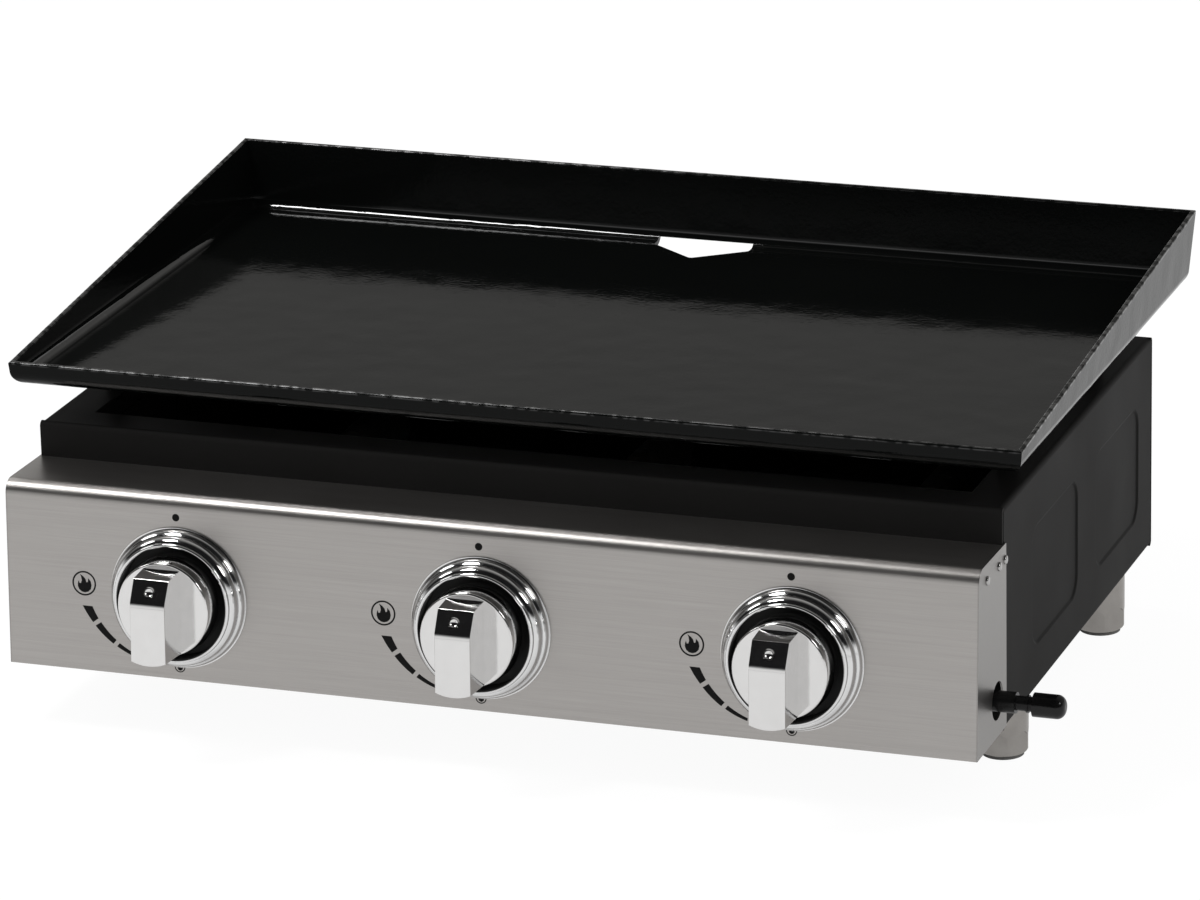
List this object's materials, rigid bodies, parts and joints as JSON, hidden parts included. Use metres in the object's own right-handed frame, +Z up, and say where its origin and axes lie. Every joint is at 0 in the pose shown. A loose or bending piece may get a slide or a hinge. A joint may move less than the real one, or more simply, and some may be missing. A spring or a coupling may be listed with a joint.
{
  "type": "table-top gas griddle",
  "caption": "Table-top gas griddle: flared black enamel cooking plate on a black firebox, stainless control panel with chrome push-and-turn knobs, levelling feet and capped gas inlet.",
  "frame": {"origin": "centre of the four feet, on the table plane, below the middle of the firebox", "axes": "+X to the right along the front, -Y out of the control panel, +Z up"},
  "size_m": [0.6284, 0.4699, 0.2331],
  "materials": {
    "enamel": "gloss vitreous enamel",
    "firebox_black": "satin heat-proof paint",
    "panel_steel": "brushed across the width",
    "bezel_chrome": "polished",
    "knob_chrome": "polished",
    "zinc_steel": "zinc plated",
    "plain_steel": "turned",
    "brass": "turned",
    "cast_aluminium": "die cast",
    "black_paint": "black paint",
    "cap_vinyl": "soft vinyl",
    "burner_steel": "mill finish",
    "white_ceramic": "glazed",
    "lead_silicone": "silicone sleeve",
    "igniter_plastic": "moulded",
    "foot_steel": "satin turned",
    "pad_rubber": "moulded",
    "cup_steel": "pressed",
    "rail_black": "satin paint"
  },
  "bodies": {
    "chassis": {"bezel_left": "bezel_chrome", "bezel_mid": "bezel_chrome", "bezel_right": "bezel_chrome", "bezel_screws": "zinc_steel", "burner_left": "burner_steel", "burner_mid": "burner_steel", "burner_rail": "burner_steel", "burner_right": "burner_steel", "burner_screws": "zinc_steel", "clamp_screws": "zinc_steel", "control_panel": "panel_steel", "cup_rails": "rail_black", "electrode_left": "white_ceramic", "electrode_mid": "white_ceramic", "electrode_right": "white_ceramic", "firebox_floor": "firebox_black", "firebox_front": "firebox_black", "firebox_rear": "firebox_black", "foot_nuts": "zinc_steel", "ignition_leads": "lead_silicone", "inlet_fitting": "black_paint", "manifold_clamps": "cast_aluminium", "manifold_pipe": "black_paint", "orifice_spuds": "brass", "panel_rivets": "zinc_steel", "panel_screws": "zinc_steel", "piezo_igniters": "igniter_plastic", "rail_screws": "zinc_steel", "side_panel_left": "firebox_black", "side_panel_right": "firebox_black", "spark_rods": "plain_steel", "valve_body_left": "cast_aluminium", "valve_body_mid": "cast_aluminium", "valve_body_right": "cast_aluminium", "valve_bonnets": "plain_steel"},
    "plate": {"griddle_plate": "enamel", "plate_pegs": "enamel"},
    "cup": {"grease_cup": "cup_steel"},
    "cap": {"inlet_cap": "cap_vinyl"},
    "plug_left": {"valve_plug_left": "brass", "valve_spring_left": "plain_steel"},
    "knob_left": {"knob_left": "knob_chrome", "valve_stem_left": "plain_steel"},
    "plug_mid": {"valve_plug_mid": "brass", "valve_spring_mid": "plain_steel"},
    "knob_mid": {"knob_mid": "knob_chrome", "valve_stem_mid": "plain_steel"},
    "plug_right": {"valve_plug_right": "brass", "valve_spring_right": "plain_steel"},
    "knob_right": {"knob_right": "knob_chrome", "valve_stem_right": "plain_steel"},
    "foot_front_left": {"foot_front_left": "foot_steel", "pad_front_left": "pad_rubber"},
    "foot_front_right": {"foot_front_right": "foot_steel", "pad_front_right": "pad_rubber"},
    "foot_rear_left": {"foot_rear_left": "foot_steel", "pad_rear_left": "pad_rubber"},
    "foot_rear_right": {"foot_rear_right": "foot_steel", "pad_rear_right": "pad_rubber"}
  },
  "joints": [
    {"name": "plate_lift", "type": "slide", "parent": "chassis", "child": "plate", "axis": [0, 0, 1], "range_m": [0, 0.08]},
    {"name": "cup_pull", "type": "slide", "parent": "chassis", "child": "cup", "axis": [0, 1, 0], "range_m": [0, 0.06]},
    {"name": "cap_pull", "type": "slide", "parent": "chassis", "child": "cap", "axis": [1, 0, 0], "range_m": [0, 0.03]},
    {"name": "knob_left_turn", "type": "hinge", "parent": "chassis", "child": "plug_left", "pos_m": [-0.1816, -0.21305, 0.086], "axis": [0, -0.9989, 0.0462], "range_deg": [0, 180]},
    {"name": "knob_left_push", "type": "slide", "parent": "plug_left", "child": "knob_left", "axis": [0, 0.9989, -0.0462], "range_m": [0, 0.004], "stiffness_N_per_m": 1500, "springref_m": -0.003, "deforming": ["valve_spring_left"]},
    {"name": "knob_mid_turn", "type": "hinge", "parent": "chassis", "child": "plug_mid", "pos_m": [0, -0.21305, 0.086], "axis": [0, -0.9989, 0.0462], "range_deg": [0, 180]},
    {"name": "knob_mid_push", "type": "slide", "parent": "plug_mid", "child": "knob_mid", "axis": [0, 0.9989, -0.0462], "range_m": [0, 0.004], "stiffness_N_per_m": 1500, "springref_m": -0.003, "deforming": ["valve_spring_mid"]},
    {"name": "knob_right_turn", "type": "hinge", "parent": "chassis", "child": "plug_right", "pos_m": [0.1816, -0.21305, 0.086], "axis": [0, -0.9989, 0.0462], "range_deg": [0, 180]},
    {"name": "knob_right_push", "type": "slide", "parent": "plug_right", "child": "knob_right", "axis": [0, 0.9989, -0.0462], "range_m": [0, 0.004], "stiffness_N_per_m": 1500, "springref_m": -0.003, "deforming": ["valve_spring_right"]},
    {"name": "level_front_left", "type": "slide", "parent": "chassis", "child": "foot_front_left", "axis": [0, 0, -1], "range_m": [0, 0.012]},
    {"name": "level_front_right", "type": "slide", "parent": "chassis", "child": "foot_front_right", "axis": [0, 0, -1], "range_m": [0, 0.012]},
    {"name": "level_rear_left", "type": "slide", "parent": "chassis", "child": "foot_rear_left", "axis": [0, 0, -1], "range_m": [0, 0.012]},
    {"name": "level_rear_right", "type": "slide", "parent": "chassis", "child": "foot_rear_right", "axis": [0, 0, -1], "range_m": [0, 0.012]}
  ]
}
